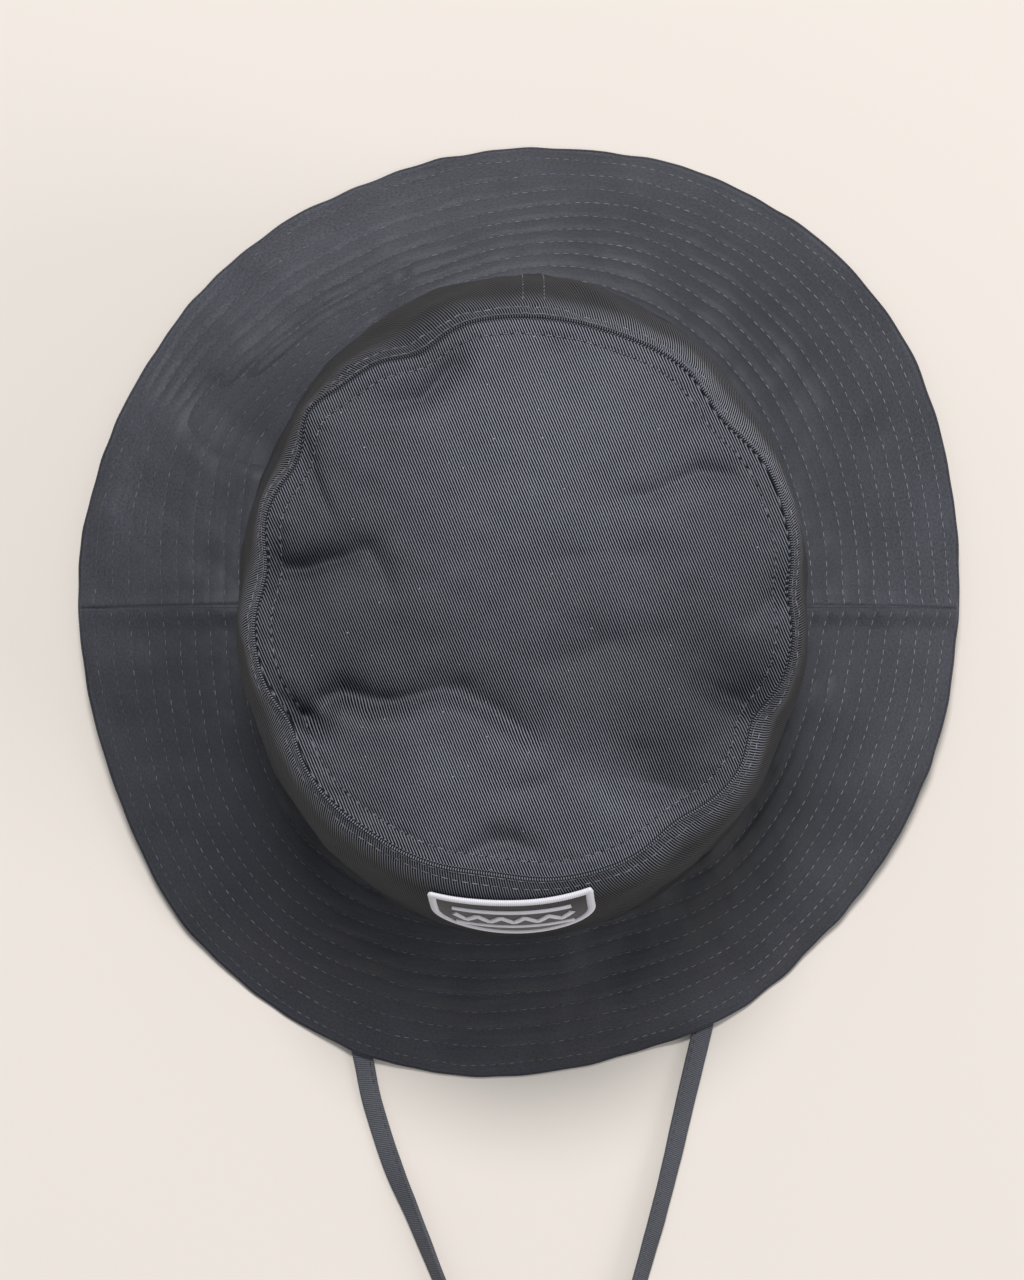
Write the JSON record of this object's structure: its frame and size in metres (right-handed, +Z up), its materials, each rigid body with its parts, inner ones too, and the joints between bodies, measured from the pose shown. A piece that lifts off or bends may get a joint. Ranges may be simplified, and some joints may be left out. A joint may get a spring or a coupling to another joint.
{
  "type": "safari hat",
  "caption": "Soft black cotton twill safari hat with a flat-topped crown, a wide stitched brim, a sewn patch at the front and a flat chin strap.",
  "frame": {"origin": "on the floor, under the middle of the brim's outline in plan", "axes": "+Z up through the crown, -Y towards the front of the hat where the patch and the strap are, +X towards the left of somebody who wears it"},
  "size_m": [0.2905, 0.4378, 0.1179],
  "materials": {
    "crown_twill": "matte cotton twill, black",
    "brim_twill": "matte cotton twill, black, in rows of stitching",
    "strap_twill": "matte cotton twill, black",
    "patch_black": "dense black embroidery",
    "patch_white": "white embroidery thread, slightly glossy"
  },
  "bodies": {
    "root": {"crown_tip": "crown_twill", "crown_wall": "crown_twill", "brim_back": "brim_twill", "brim_front": "brim_twill", "patch_field": "patch_black", "patch_border": "patch_white", "patch_bar_upper": "patch_white", "patch_zigzag": "patch_white", "patch_bar_lower": "patch_white", "chin_strap": "strap_twill"}
  },
  "joints": []
}
